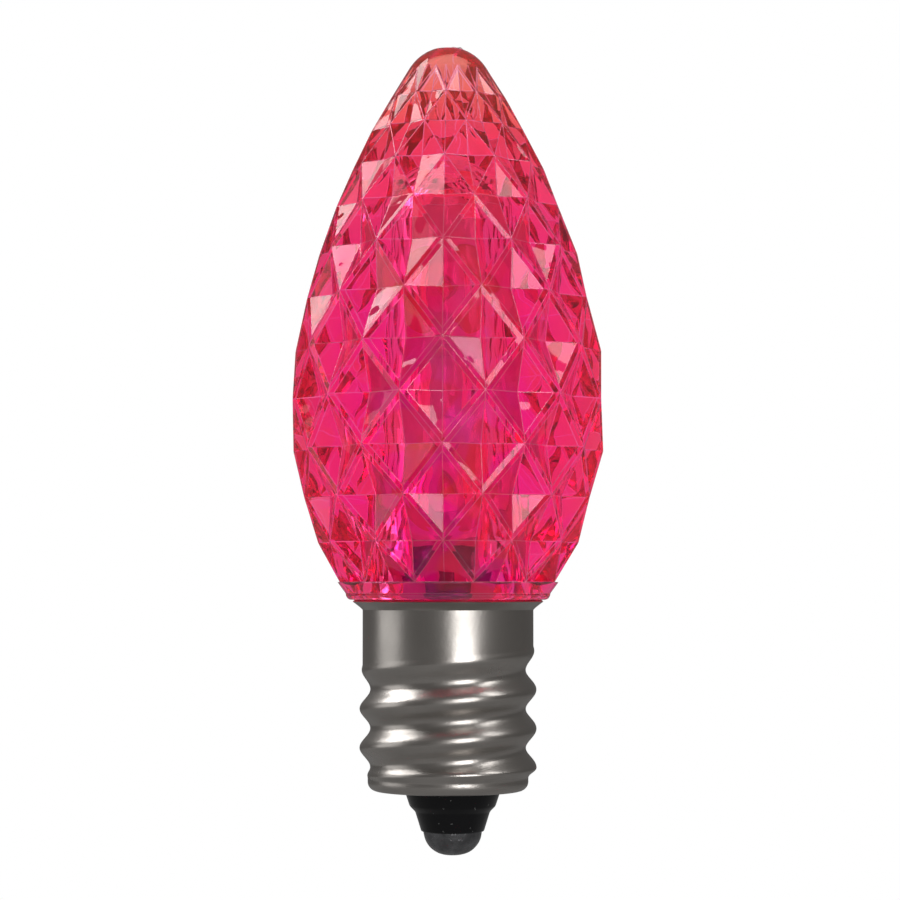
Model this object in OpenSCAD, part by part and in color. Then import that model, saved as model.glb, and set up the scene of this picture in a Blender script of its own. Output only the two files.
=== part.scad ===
// Faceted LED bulb for a string of Christmas lights: a moulded lens on a small screw base.
// The bulb stands on its base, +Z up. The origin is on the axis, at the lower edge of the
// base's plain collar, where the screw thread starts. The front faces -Y.

/* [Lens outline] */
// Largest radius of the lens, over the ridges
belly_r = 10.4; // [9.8:0.02:11.2]
// Height of the widest place above the lens's seat
belly_h = 12.5; // [12:0.02:13.4]
// Radius of the arc from the belly down to the foot
lower_arc_r = 22; // [21:0.5:25]
// Radius of the arc above the belly
upper_arc_r = 27; // [24:0.5:33]
// Turn of that arc, where the long shoulder starts
upper_arc_turn = 12; // [10:0.5:16]
// Radius of the nearly straight shoulder
shoulder_arc_r = 49; // [44:1:70]
// Radius of the round tip
tip_r = 3; // [2.4:0.1:3.4]
// How much of the round tip the gate cuts flat
tip_cut = 0.2; // [0.1:0.05:0.4]
// Height of the edge break around the foot
seat_break = 0.42; // [0.3:0.02:0.6]
// Width of that edge break
seat_bevel = 0.34; // [0.2:0.02:0.45]
// Depth of the plain band below the ridges
band_step = 0.06; // [0.03:0.01:0.12]

/* [Lens pattern] */
// Cells around the lens
cells_around = 12; // [10:1:14]
// Rows of cells
cell_rows = 12; // [10:2:14]
// Height of the lowest crossings above the seat
pattern_foot = 1.16; // [1.0:0.02:1.5]
// How fast the rows shrink towards the tip, 0 for even rows
row_power = 1; // [0:0.05:1.3]
// Smooth length left at the tip
tip_plain = 1.5; // [1.4:0.1:2.4]
// Depth of a cell at the belly
cell_depth = 1.1; // [0.7:0.05:1.3]
// Share of a cell inside its ridges
cell_share = 0.84; // [0.76:0.01:0.9]
// Turn of the pattern from the front
pattern_turn = -2; // [-7:0.5:7]

/* [Lens bore, neck and gate] */
// Wall of the neck
neck_wall = 0.7; // [0.5:0.05:0.9]
// Length of the neck below the seat
neck_len = 1.94; // [1.6:0.02:2.1]
// Radius of the bore at its closed end
bore_end_r = 3.75; // [3.6:0.05:4.0]
// Free height of the bore above the board
board_headroom = 2.5; // [1.5:0.1:3.0]
// Thickness of the cement around the neck
cement_t = 0.16; // [0.1:0.01:0.24]
// Radius of the broken moulding gate
gate_r = 0.75; // [0.5:0.05:0.9]
// Height of the gate stub
gate_h = 0.22; // [0.1:0.02:0.4]
// Distance of the stub from the axis
gate_off = 0.5; // [0:0.05:0.6]

/* [Screw shell] */
// Outer radius of the plain collar
collar_r = 5.61; // [5.55:0.01:5.68]
// Length of the plain collar
collar_len = 2.3; // [2.1:0.05:2.5]
// Height of the flared lip above the collar
lip_h = 0.54; // [0.4:0.02:0.7]
// Distance of the lip inside the lens's seat
lip_inset = 0.12; // [0.06:0.02:0.3]
// Sheet thickness
sheet_t = 0.25; // [0.18:0.01:0.3]
// Crest radius of the rolled thread
crest_r = 5.8; // [5.76:0.01:5.94]
// Depth of the thread
thread_depth = 0.7; // [0.5:0.02:0.76]
// Pitch of the thread
thread_pitch = 2.54; // [2.4:0.02:2.6]
// Depth of the first groove below the collar, on the +X side
first_groove = 1.75; // [1.6:0.05:1.9]
// Turn over which the first groove runs out
run_out = 130; // [90:5:160]
// Length of the shell below the collar
thread_len = 9.62; // [9.3:0.01:9.9]
// Drop from the crests to the plain skirt below the thread
skirt_drop = 0.54; // [0.44:0.02:0.7]
// Corner radius under the skirt
skirt_round = 0.58; // [0.4:0.02:0.7]

/* [Insulator and contact] */
// Radius of the insulator where it leaves the shell
cone_top_r = 3.15; // [3.0:0.01:3.3]
// Radius of the insulator at its step
step_r = 2.81; // [2.7:0.01:2.9]
// Radius below that step
waist_r = 2.45; // [2.35:0.01:2.6]
// Radius of the insulator's end
cone_end_r = 2.05; // [1.98:0.01:2.15]
// Length of the insulator below the shell
cone_len = 2.65; // [2.4:0.05:2.9]
// Share of that length above the step
step_share = 0.38; // [0.3:0.01:0.5]
// Thickness of the insulator's flange in the shell
flange_t = 1; // [0.8:0.05:1.2]
// Sideways set of the insulator in the shell
nose_shift = 0.3; // [0:0.02:0.36]
// Gap between the insulator and the shell's edge
hole_gap = 0.05; // [0.02:0.01:0.1]
// Distance of the solder dome inside the insulator's end
dome_inset = 0.13; // [0.05:0.01:0.2]
// Height of the solder dome
dome_h = 1.55; // [1.3:0.05:1.7]
// How full the dome is: 1 for an ellipse, less for a fuller one
dome_power = 0.8; // [0.6:0.05:1]
// Outer radius of the eyelet's tube
eyelet_r = 0.9; // [0.8:0.02:1.0]
// Sheet thickness of the eyelet
eyelet_t = 0.22; // [0.15:0.01:0.26]
// Radius of the eyelet's two rims
eyelet_rim_r = 1.4; // [1.2:0.05:1.5]

/* [Circuit board] */
// Width of the board
board_w = 6.4; // [6.0:0.1:6.6]
// Thickness of the board
board_t = 0.8; // [0.6:0.1:1.0]
// Top of the board above the lens's seat
board_top = 25.2; // [24:0.2:25.6]
// Width of the board's foot
foot_w = 5; // [4.4:0.1:5.4]
// Depth of the foot in the filling
board_seat = 1.8; // [1.2:0.1:2.2]
// Gap between the filling and the thread's grooves
filling_gap = 0.25; // [0.2:0.05:0.4]
// Length of the filling above the insulator
filling_len = 4.6; // [4.2:0.1:5.2]

/* [Components] */
// Side of a light-emitting package
led_side = 5; // [4:0.1:5.2]
// Thickness of a light-emitting package
led_t = 1.5; // [1.0:0.1:1.6]
// Corner cut of a package
led_corner = 0.5; // [0.2:0.1:0.8]
// Radius of the package's light window
window_r = 1.9; // [1.5:0.1:1.9]
// Depth of that window
window_d = 0.6; // [0.4:0.1:0.8]
// Height of the lower packages above the seat
led_low = 8.2; // [7.8:0.1:9]
// Height of the upper packages above the seat
led_high = 19.6; // [17:0.2:21]
// Length of the rectifier
rectifier_l = 4.6; // [4.2:0.1:4.8]
// Width of the rectifier's body
rectifier_w = 3.8; // [3.4:0.1:4.2]
// Thickness of the rectifier
rectifier_t = 1.3; // [1.0:0.1:1.5]
// Reach of the rectifier's legs beside its body
leg_reach = 0.9; // [0.6:0.1:1.1]
// Width of a leg
leg_w = 0.6; // [0.4:0.1:0.8]
// Length of a chip resistor
chip_l = 3.2; // [2.8:0.1:3.4]
// Width of a chip resistor
chip_w = 1.6; // [1.4:0.1:1.8]
// Thickness of a chip resistor
chip_t = 0.55; // [0.4:0.05:0.7]
// Radius of the lead wires
lead_r = 0.25; // [0.2:0.01:0.28]
// Radius of a solder drop
drop_r = 0.5; // [0.42:0.02:0.55]

/* [Hidden] */
$fn = 96;

// Clearance between pieces that are set in one another
fit = 0.02;
// Depth by which one shape of a piece reaches into the next
bite = 0.2;
// Overshoot of a cut past a face
cut = 0.1;

// Collar and seat of the lens
inner_r = collar_r - sheet_t;
neck_r = inner_r - cement_t;
bore_mouth_r = neck_r - neck_wall;
seat_z = collar_len + lip_h;
neck_z = seat_z - neck_len;
belly_z = seat_z + belly_h;

// Outline of the lens: two arcs meet at the belly, a long shoulder and a round tip follow.
// Each centre is [radius, height] in the half plane.
lower_centre = [belly_r - lower_arc_r, belly_z];
upper_centre = [belly_r - upper_arc_r, belly_z];
shoulder_turn = [cos(upper_arc_turn), sin(upper_arc_turn)];
shoulder_start = upper_centre + upper_arc_r * shoulder_turn;
shoulder_centre = shoulder_start - shoulder_arc_r * shoulder_turn;
tip_reach = shoulder_arc_r - tip_r;
tip_centre_z = shoulder_centre.y + sqrt(pow(tip_reach, 2) - pow(shoulder_centre.x, 2));
tip_start_z = shoulder_centre.y + shoulder_arc_r * (tip_centre_z - shoulder_centre.y) / tip_reach;
tip_flat_z = tip_centre_z + tip_r - tip_cut;

function arc_at(centre, r, z) = centre.x + sqrt(max(0, pow(r, 2) - pow(z - centre.y, 2)));
function outline_r(z) =
    z < belly_z ? arc_at(lower_centre, lower_arc_r, z) :
    z < shoulder_start.y ? arc_at(upper_centre, upper_arc_r, z) :
    z < tip_start_z ? arc_at(shoulder_centre, shoulder_arc_r, z) :
    arc_at([0, tip_centre_z], tip_r, z);

// Rows of crossings: each step shrinks with a power of the radius, and the whole stack is
// then fitted between the lowest row and the smooth tip.
pattern_foot_z = seat_z + pattern_foot;
pattern_top_z = tip_flat_z - tip_plain;
row_guess = (pattern_top_z - pattern_foot_z) / cell_rows;
function raw_row(k) = k == 0 ? pattern_foot_z :
    let(below = raw_row(k - 1))
    let(middle_r = outline_r(min(below + row_guess / 2, pattern_top_z)))
    below + row_guess * pow(middle_r / belly_r, row_power);
row_stretch = (pattern_top_z - pattern_foot_z) / (raw_row(cell_rows) - pattern_foot_z);
row_z = [for (k = [0:cell_rows]) pattern_foot_z + (raw_row(k) - pattern_foot_z) * row_stretch];

// Surface points, one per row and column. A point is a crossing of ridges or a cell's pit.
columns = 2 * cells_around;
column_turn = 360 / columns;
front_turn = -90 + pattern_turn;
foot_ring_z = (seat_z + seat_break + pattern_foot_z) / 2;
foot_ring_inset = 2 * band_step;
tip_rings = 3;
function on_lens(r, j, z) =
    let(a = front_turn + column_turn * j) [r * cos(a), r * sin(a), z];
function is_pit(k, j) = (k + j) % 2 == 0;
function pit_depth(z) = cell_depth * outline_r(z) / belly_r;
function grid_point(k, j) =
    let(depth = is_pit(k, j) && k < cell_rows ? pit_depth(row_z[k]) : 0)
    on_lens(outline_r(row_z[k]) - depth, j, row_z[k]);
function foot_point(j) =
    let(depth = is_pit(0, j) ? pit_depth(foot_ring_z) : foot_ring_inset)
    on_lens(outline_r(foot_ring_z) - depth, j, foot_ring_z);
function tip_ring_z(i) = pattern_top_z + (tip_flat_z - pattern_top_z) * i / tip_rings;

// Point numbers: foot ring, then the rows, then the tip rings, then four inner corners a cell
function wrap(j) = (j + columns) % columns;
function grid_no(k, j) = (k + 1) * columns + wrap(j);
first_inner = (cell_rows + 2 + tip_rings) * columns;
function inner_no(k, j, corner) = first_inner + 4 * (k * cells_around + floor(j / 2)) + corner;

// Thread. A turn is counted up the helix from the first groove on the +X side. A crest with
// no groove above it keeps only a share of its height.
shell_foot_z = -thread_len;
skirt_r = crest_r - skirt_drop;
thread_foot_z = shell_foot_z + skirt_round + bite;
skirt_blend = 0.7;
crest_blend = 0.36;
crest_rest = 0.3;
run_start = 20;
thread_sides = 36;
thread_rows = 32;
function ease(t) = let(s = max(0, min(1, t))) s * s * (3 - 2 * s);
function standing(turn) = 1 - ease((turn - run_start) / run_out);
function thread_r(a, z) =
    let(
        q = (z + first_groove) / thread_pitch - a / 360,
        k = round(q),
        u = q - k,
        turn = a + 360 * k,
        here = standing(turn),
        over = max(standing(turn + 360), crest_rest * here),
        fade = crest_rest * (1 - ease((u + 0.5) * thread_pitch / crest_blend)),
        crest = u > 0 ? here + (over - here) * ease(2 * u) : max(here, standing(turn - 360) * fade),
        groove = here * thread_depth * pow(cos(180 * u), 2),
        raised = ((crest_r - collar_r) * crest - groove) * ease(-z / crest_blend),
        skirt = ease((thread_foot_z + skirt_blend - z) / skirt_blend)
    )
    collar_r + raised + (skirt_r - collar_r - raised) * skirt;

// Insulator and contact
foot_hole_r = cone_top_r + nose_shift + hole_gap;
flange_r = skirt_r - skirt_round - nose_shift - fit;
flange_z = shell_foot_z + sheet_t;
flange_top_z = flange_z + flange_t;
step_z = shell_foot_z - cone_len * step_share;
cone_end_z = shell_foot_z - cone_len;
dome_r = cone_end_r - dome_inset;
eyelet_bore_r = eyelet_r - eyelet_t;

// Board, filling and leads
filling_r = crest_r - thread_depth - sheet_t - filling_gap;
filling_top_z = flange_top_z + eyelet_t + filling_len;
board_z = filling_top_z - board_seat;
board_top_z = seat_z + board_top;
board_face = board_t / 2;
bore_end_z = board_top_z + board_headroom;
lead_y = board_face + lead_r + fit;
shell_lead_z = neck_z - drop_r - cut;
shell_lead_x = -board_w / 2 + drop_r + cut;
drop_x = -inner_r + drop_r / 2;
centre_pad = [board_w / 4, lead_y, filling_top_z + drop_r + 1];
centre_lead_points = [
    centre_pad,
    [centre_pad.x, lead_y, board_z - 2 * lead_r],
    [nose_shift, 0, flange_top_z + 1],
    [nose_shift, 0, cone_end_z - dome_h / 2]
];
shell_lead_points = [[shell_lead_x, lead_y, shell_lead_z], [drop_x, lead_y, shell_lead_z]];

// Lens, moulded in one piece: ridges cross in diamonds, and each diamond is a four-sided pit
module lens_skin() {
    cells = [for (k = [0:cell_rows - 1], j = [0:columns - 1]) if (is_pit(k, j)) [k, j]];
    function inner_corners(k, j) =
        let(
            middle = on_lens(outline_r(row_z[k]), j, row_z[k]),
            below = k == 0 ? foot_point(j) : grid_point(k - 1, j),
            corners = [grid_point(k + 1, j), grid_point(k, j + 1), below, grid_point(k, j - 1)]
        )
        [for (c = corners) middle + cell_share * (c - middle)];
    points = [
        for (j = [0:columns - 1]) foot_point(j),
        for (k = [0:cell_rows], j = [0:columns - 1]) grid_point(k, j),
        for (i = [1:tip_rings], j = [0:columns - 1])
            on_lens(outline_r(tip_ring_z(i)), j, tip_ring_z(i)),
        for (cell = cells) each inner_corners(cell[0], cell[1])
    ];
    cell_faces = [
        for (cell = cells)
            let(
                k = cell[0],
                j = cell[1],
                up = grid_no(k + 1, j),
                down = grid_no(k - 1, j),
                outer = [up, grid_no(k, j + 1), down, grid_no(k, j - 1)],
                inner = [for (c = [0:3]) inner_no(k, j, c)]
            )
            for (c = [0:3])
                let(d = (c + 1) % 4)
                each [
                    [outer[c], outer[d], inner[d]],
                    [outer[c], inner[d], inner[c]],
                    [inner[c], inner[d], grid_no(k, j)]
                ]
    ];
    foot_faces = [
        for (j = [0:columns - 1])
            if (!is_pit(0, j))
                each [
                    [grid_no(0, j), grid_no(-1, j + 1), grid_no(-1, j)],
                    [grid_no(0, j), grid_no(-1, j), grid_no(-1, j - 1)]
                ]
    ];
    last = cell_rows - 1;
    crown_faces = [
        for (j = [0:columns - 1])
            if (!is_pit(last, j))
                each [
                    [grid_no(last, j), grid_no(last + 1, j), grid_no(last + 1, j + 1)],
                    [grid_no(last, j), grid_no(last + 1, j - 1), grid_no(last + 1, j)]
                ]
    ];
    tip_faces = [
        for (k = [cell_rows:cell_rows + tip_rings - 1], j = [0:columns - 1])
            each [
                [grid_no(k, j), grid_no(k + 1, j), grid_no(k + 1, j + 1)],
                [grid_no(k, j), grid_no(k + 1, j + 1), grid_no(k, j + 1)]
            ]
    ];
    under_face = [for (j = [0:columns - 1]) grid_no(-1, j)];
    top_face = [for (j = [columns - 1:-1:0]) grid_no(cell_rows + tip_rings, j)];
    polyhedron(
        points = points,
        faces = concat(cell_faces, foot_faces, crown_faces, tip_faces, [under_face, top_face])
    );
}

module lens_bore() {
    end_z = bore_end_z - bore_end_r;
    rotate_extrude()
        polygon([
            [0, neck_z - cut],
            [bore_mouth_r, neck_z - cut],
            [bore_mouth_r, neck_z],
            [bore_end_r, end_z],
            for (a = [10:10:80]) [bore_end_r * cos(a), end_z + bore_end_r * sin(a)],
            [0, bore_end_z]
        ]);
}

module lens() {
    band_z = seat_z + seat_break;
    band_r = outline_r(band_z) - band_step;
    color([0.93, 0.1, 0.34, 0.55])
    difference() {
        union() {
            lens_skin();
            // Plain band, seat and neck
            rotate_extrude()
                polygon([
                    [0, neck_z],
                    [neck_r, neck_z],
                    [neck_r, seat_z],
                    [band_r - seat_bevel, seat_z],
                    [band_r, band_z],
                    [outline_r(pattern_foot_z) - band_step, pattern_foot_z],
                    [0, pattern_foot_z]
                ]);
            // Stub of the moulding gate
            translate([gate_off, 0, tip_flat_z - bite]) cylinder(r = gate_r, h = gate_h + bite);
        }
        lens_bore();
    }
}

// Ring of cement between the lens's neck and the collar
module neck_cement() {
    color([0.86, 0.82, 0.7])
    difference() {
        translate([0, 0, neck_z]) cylinder(r = inner_r, h = collar_len - neck_z);
        translate([0, 0, neck_z - cut]) cylinder(r = neck_r, h = neck_len);
    }
}

// Screw shell, pressed and rolled from thin sheet. Below the collar it is a sweep around the
// axis: each station's section runs down the outside, in under the skirt and up the inside.
module shell_thread() {
    wall = sheet_t - 3 * fit;
    corner_rows = 4;
    heights = [for (i = [0:thread_rows]) thread_foot_z * i / thread_rows];
    function skin(a, inset) =
        [for (z = heights) [thread_r(a, z) - fit - inset, z]];
    function corner(r) =
        [
            for (i = [1:corner_rows])
                let(turn = 90 * i / corner_rows)
                [
                    skirt_r - skirt_round + (r - fit) * cos(turn),
                    shell_foot_z + skirt_round - r * sin(turn)
                ]
        ];
    // The first and last points lie inside the collar's wall
    function section(a) =
        let(inside = concat(skin(a, wall), corner(skirt_round - sheet_t)))
        concat(
            [[collar_r - wall / 2 + fit, bite]],
            skin(a, 0),
            corner(skirt_round),
            [[foot_hole_r, shell_foot_z], [foot_hole_r, flange_z]],
            [for (i = [len(inside) - 1:-1:0]) inside[i]],
            [[collar_r - wall / 2 - fit, bite]]
        );
    around = len(section(0));
    points = [
        for (s = [0:thread_sides - 1])
            let(a = 360 * s / thread_sides)
            for (p = section(a)) [p[0] * cos(a), p[0] * sin(a), p[1]]
    ];
    function no(s, i) = (s % thread_sides) * around + i % around;
    faces = [
        for (s = [0:thread_sides - 1], i = [0:around - 1])
            each [
                [no(s, i), no(s + 1, i), no(s + 1, i + 1)],
                [no(s, i), no(s + 1, i + 1), no(s, i + 1)]
            ]
    ];
    polyhedron(points = points, faces = faces);
}

module screw_shell() {
    lip_r = outline_r(seat_z + seat_break) - band_step - seat_bevel - lip_inset;
    edge = sheet_t / 2;
    color([0.66, 0.63, 0.6])
    union() {
        // Collar and flared lip
        rotate_extrude()
            polygon([
                [inner_r, 0],
                [collar_r, 0],
                [collar_r, collar_len - edge / 2],
                [lip_r, seat_z - edge],
                [lip_r - edge, seat_z],
                [inner_r, collar_len + edge / 2]
            ]);
        shell_thread();
    }
}

// Insulator: a flange held in the shell, a stepped cone below it and a hole for the contact
module insulator() {
    hole_r = eyelet_r + fit;
    color([0.05, 0.05, 0.05])
    translate([nose_shift, 0, 0])
    rotate_extrude()
        polygon([
            [hole_r, cone_end_z],
            [cone_end_r, cone_end_z],
            [waist_r, step_z - (step_r - waist_r)],
            [step_r, step_z],
            [cone_top_r, shell_foot_z],
            [cone_top_r, flange_z],
            [flange_r, flange_z],
            [flange_r, flange_top_z],
            [hole_r, flange_top_z]
        ]);
}

// Contact eyelet: a tube with a rim rolled over each end of the insulator
module contact_eyelet() {
    color([0.8, 0.65, 0.3])
    translate([nose_shift, 0, 0])
    rotate_extrude()
        polygon([
            [eyelet_bore_r, cone_end_z - eyelet_t],
            [eyelet_rim_r, cone_end_z - eyelet_t],
            [eyelet_rim_r, cone_end_z],
            [eyelet_r, cone_end_z],
            [eyelet_r, flange_top_z],
            [eyelet_rim_r, flange_top_z],
            [eyelet_rim_r, flange_top_z + eyelet_t],
            [eyelet_bore_r, flange_top_z + eyelet_t]
        ]);
}

// Solder dome that covers the eyelet, fills its mouth and makes the centre contact
module contact_solder() {
    color([0.45, 0.45, 0.46])
    difference() {
        translate([nose_shift, 0, cone_end_z]) {
            difference() {
                rotate_extrude()
                    polygon([
                        [0, 0],
                        for (a = [0:9:90]) [dome_r * pow(cos(a), dome_power), -dome_h * sin(a)]
                    ]);
                translate([0, 0, -eyelet_t]) cylinder(r = eyelet_rim_r, h = eyelet_t + cut);
            }
            translate([0, 0, -eyelet_t - fit]) cylinder(r = eyelet_bore_r, h = 2 * eyelet_r);
        }
        wire(centre_lead_points);
    }
}

// A round wire through a list of points
module wire(points) {
    for (i = [1:len(points) - 1]) {
        way = points[i] - points[i - 1];
        translate(points[i - 1])
        rotate([0, acos(way.z / norm(way)), atan2(way.y, way.x)])
        cylinder(r = lead_r, h = norm(way));
        if (i < len(points) - 1) translate(points[i]) sphere(r = lead_r + fit / 2);
    }
}

module board_outline() {
    corner = board_t;
    polygon([
        [-foot_w / 2, board_z],
        [foot_w / 2, board_z],
        [foot_w / 2, filling_top_z],
        [board_w / 2, filling_top_z],
        [board_w / 2, board_top_z - corner],
        [board_w / 2 - corner, board_top_z],
        [-board_w / 2 + corner, board_top_z],
        [-board_w / 2, board_top_z - corner],
        [-board_w / 2, filling_top_z],
        [-foot_w / 2, filling_top_z]
    ]);
}

module board_slab() {
    rotate([90, 0, 0]) translate([0, 0, -board_face]) linear_extrude(board_t) board_outline();
}

// Filling that holds the board's foot and the centre lead in the base
module base_filling() {
    color([0.16, 0.16, 0.17])
    difference() {
        translate([0, 0, flange_top_z]) cylinder(r = filling_r, h = filling_top_z - flange_top_z);
        board_slab();
        wire(centre_lead_points);
        translate([nose_shift, 0, flange_top_z - cut])
            cylinder(r = eyelet_rim_r + fit, h = eyelet_t + cut + fit);
    }
}

module circuit_board() {
    color([0.9, 0.9, 0.86]) board_slab();
}

// Light-emitting package on the front (side -1) or the back (side 1) of the board
module led_package(side, z) {
    half = led_side / 2;
    inner = half - led_corner;
    color([0.93, 0.92, 0.88])
    translate([0, side * board_face, z])
    rotate([-90 * side, 0, 0])
    difference() {
        linear_extrude(led_t)
            polygon([
                [-inner, -half], [inner, -half], [half, -inner], [half, inner],
                [inner, half], [-inner, half], [-half, inner], [-half, -inner]
            ]);
        translate([0, 0, led_t - window_d]) cylinder(r = window_r, h = window_d + cut);
    }
}

module led_front_lower() { led_package(-1, seat_z + led_low); }
module led_front_upper() { led_package(-1, seat_z + led_high); }
module led_back_lower() { led_package(1, seat_z + led_low); }
module led_back_upper() { led_package(1, seat_z + led_high); }

// Rectifier on the back of the board, with two legs on each side
module bridge_rectifier() {
    middle_z = seat_z + (led_low - led_side / 2) / 2;
    leg_t = chip_t / 2;
    leg_z = rectifier_l / 4;
    color([0.08, 0.08, 0.09])
    translate([0, board_face, middle_z])
    rotate([-90, 0, 0])
    union() {
        translate([-rectifier_w / 2, -rectifier_l / 2, 0])
            cube([rectifier_w, rectifier_l, rectifier_t]);
        for (z = [-leg_z, leg_z])
            translate([-rectifier_w / 2 - leg_reach, z - leg_w / 2, 0])
                cube([rectifier_w + 2 * leg_reach, leg_w, leg_t]);
    }
}

// Chip resistor on the front of the board
module chip_resistor(z) {
    color([0.1, 0.1, 0.11])
    translate([-chip_l / 2, -board_face - chip_t, z - chip_w / 2]) cube([chip_l, chip_t, chip_w]);
}

module resistor_lower() { chip_resistor(seat_z + chip_w / 2); }
module resistor_upper() { chip_resistor(seat_z + chip_w * 2); }

module shell_lead() {
    color([0.72, 0.42, 0.25]) wire(shell_lead_points);
}

module centre_lead() {
    color([0.72, 0.42, 0.25]) wire(centre_lead_points);
}

// Solder that joins the shell lead to the inside of the collar
module shell_solder() {
    color([0.6, 0.6, 0.61])
    difference() {
        intersection() {
            translate([drop_x, lead_y, shell_lead_z]) sphere(r = drop_r);
            translate([0, 0, shell_lead_z - 2 * drop_r]) cylinder(r = inner_r, h = 4 * drop_r);
        }
        wire(shell_lead_points);
    }
}

// Solder drops that join the two leads to the board
module board_solder() {
    color([0.6, 0.6, 0.61])
    difference() {
        for (pad = [centre_pad, shell_lead_points[0]])
            translate([pad.x, board_face, pad.z])
            rotate([-90, 0, 0])
            rotate_extrude()
                polygon([
                    [0, 0],
                    for (a = [0:15:90]) [2 * lead_r * cos(a) + fit, (drop_r + 2 * lead_r) * sin(a)]
                ]);
        wire(centre_lead_points);
        wire(shell_lead_points);
    }
}

lens();
neck_cement();
screw_shell();
insulator();
contact_eyelet();
contact_solder();
base_filling();
circuit_board();
led_front_lower();
led_front_upper();
led_back_lower();
led_back_upper();
bridge_rectifier();
resistor_lower();
resistor_upper();
shell_lead();
centre_lead();
shell_solder();
board_solder();
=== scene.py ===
"""The looks of a faceted LED bulb with a small screw base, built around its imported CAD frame."""

from math import cos, floor, pi, radians, sin, sqrt, tan

import bmesh
import bpy
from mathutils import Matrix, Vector, noise


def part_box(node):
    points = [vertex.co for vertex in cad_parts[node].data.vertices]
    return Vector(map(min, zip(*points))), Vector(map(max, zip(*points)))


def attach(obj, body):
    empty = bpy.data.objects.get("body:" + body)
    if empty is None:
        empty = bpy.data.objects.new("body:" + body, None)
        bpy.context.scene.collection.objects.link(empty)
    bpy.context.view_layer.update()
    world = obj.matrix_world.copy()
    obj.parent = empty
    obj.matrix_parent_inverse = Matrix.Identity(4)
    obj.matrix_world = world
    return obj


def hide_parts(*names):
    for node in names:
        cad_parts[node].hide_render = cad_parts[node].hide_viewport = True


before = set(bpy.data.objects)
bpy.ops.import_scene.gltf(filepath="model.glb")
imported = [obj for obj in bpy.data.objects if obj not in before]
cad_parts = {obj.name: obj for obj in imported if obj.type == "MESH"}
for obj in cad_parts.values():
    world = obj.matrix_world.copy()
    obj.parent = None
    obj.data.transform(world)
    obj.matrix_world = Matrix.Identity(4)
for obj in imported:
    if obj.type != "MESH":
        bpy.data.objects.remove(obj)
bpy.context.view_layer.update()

bl_info = {
    "name": "Faceted LED bulb",
    "version": (1, 0, 0),
    "blender": (4, 5, 0),
    "location": "3D View > Sidebar > Bulb",
    "description": "Makes the lens, the screw shell, the insulator and the contact of an LED bulb",
    "category": "Object",
}

MM = 0.001
LENS_LOW, LENS_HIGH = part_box("lens")
SHELL_LOW, SHELL_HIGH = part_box("screw_shell")
NOSE_LOW, NOSE_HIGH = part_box("insulator")
CONTACT_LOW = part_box("contact_solder")[0]
BODY = "root"

# Share of the white surroundings that metal and glossy plastic reflect
GLOSS_SHARE = 0.1
# Share of the floor that glows white. The rest shows the lamps' light and the shadow
FLOOR_GLOW = 0.9
# Absorption of the lens's plastic, per metre
DYE_DENSITY = 300.0


def length(name, description, default):
    return bpy.props.FloatProperty(
        name=name, description=description, default=default, unit="LENGTH", precision=5
    )


def angle(name, description, degrees):
    return bpy.props.FloatProperty(
        name=name, description=description, default=radians(degrees), subtype="ANGLE"
    )


def number(name, description, default):
    return bpy.props.FloatProperty(name=name, description=description, default=default)


def count(name, description, default, lowest):
    return bpy.props.IntProperty(
        name=name, description=description, default=default, min=lowest
    )


def colour(name, description, default):
    return bpy.props.FloatVectorProperty(
        name=name, description=description, default=default, subtype="COLOR", min=0, max=1
    )


class LensSizes(bpy.types.PropertyGroup):
    belly_radius: length("Belly radius", "Largest radius, over the ridges", 10.4 * MM)
    seat_height: length("Seat height", "Height of the lens's seat on the shell's lip", 2.84 * MM)
    belly_height: length("Belly height", "Height of the widest place above the seat", 12.5 * MM)
    lower_arc: length("Lower arc", "Radius of the arc from the belly to the foot", 22 * MM)
    upper_arc: length("Upper arc", "Radius of the arc above the belly", 27 * MM)
    upper_turn: angle("Upper turn", "Turn of the upper arc, where the shoulder starts", 12)
    shoulder_arc: length("Shoulder arc", "Radius of the nearly straight shoulder", 49 * MM)
    tip_radius: length("Tip radius", "Radius of the round tip", 3 * MM)
    tip_cut: length("Tip cut", "How much of the tip the gate cuts flat", 0.2 * MM)
    seat_break: length("Seat break", "Height of the rounded edge at the foot", 0.42 * MM)
    seat_bevel: length("Seat bevel", "Width of that rounded edge", 0.34 * MM)
    band_step: length("Band step", "Depth of the plain band below the ridges", 0.06 * MM)
    cells_around: count("Cells around", "Cells in one ring", 12, 6)
    cell_rows: count("Cell rows", "Rings of cells", 12, 4)
    pattern_foot: length("Pattern foot", "Height of the lowest crossings over the seat", 1.16 * MM)
    row_power: number("Row power", "How fast the rows shrink towards the tip", 1.0)
    tip_plain: length("Plain tip", "Smooth length left at the tip", 1.5 * MM)
    cell_depth: length("Cell depth", "Depth of a cell at the belly", 1.1 * MM)
    cell_share: number("Cell share", "Share of a cell inside its ridges", 0.84)
    pattern_turn: angle("Pattern turn", "Turn of the pattern from the front", -2)
    ridge_crown: length("Ridge crown", "Height of a ridge's middle above its sides", 0.1 * MM)
    edge_round: length("Edge rounding", "Width of the rounded edges of ridges and pits", 0.13 * MM)
    neck_radius: length("Neck radius", "Radius of the neck in the collar", 5.2 * MM)
    bore_mouth: length("Bore mouth", "Radius of the bore at its open end", 4.5 * MM)
    bore_end: length("Bore end", "Radius of the bore's round end", 3.75 * MM)
    bore_top: length("Bore top", "Height of the bore's closed end", 30.54 * MM)
    gate_radius: length("Gate radius", "Radius of the broken moulding gate", 0.75 * MM)
    gate_offset: length("Gate offset", "Distance of the gate stub from the axis", 0.5 * MM)


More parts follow.
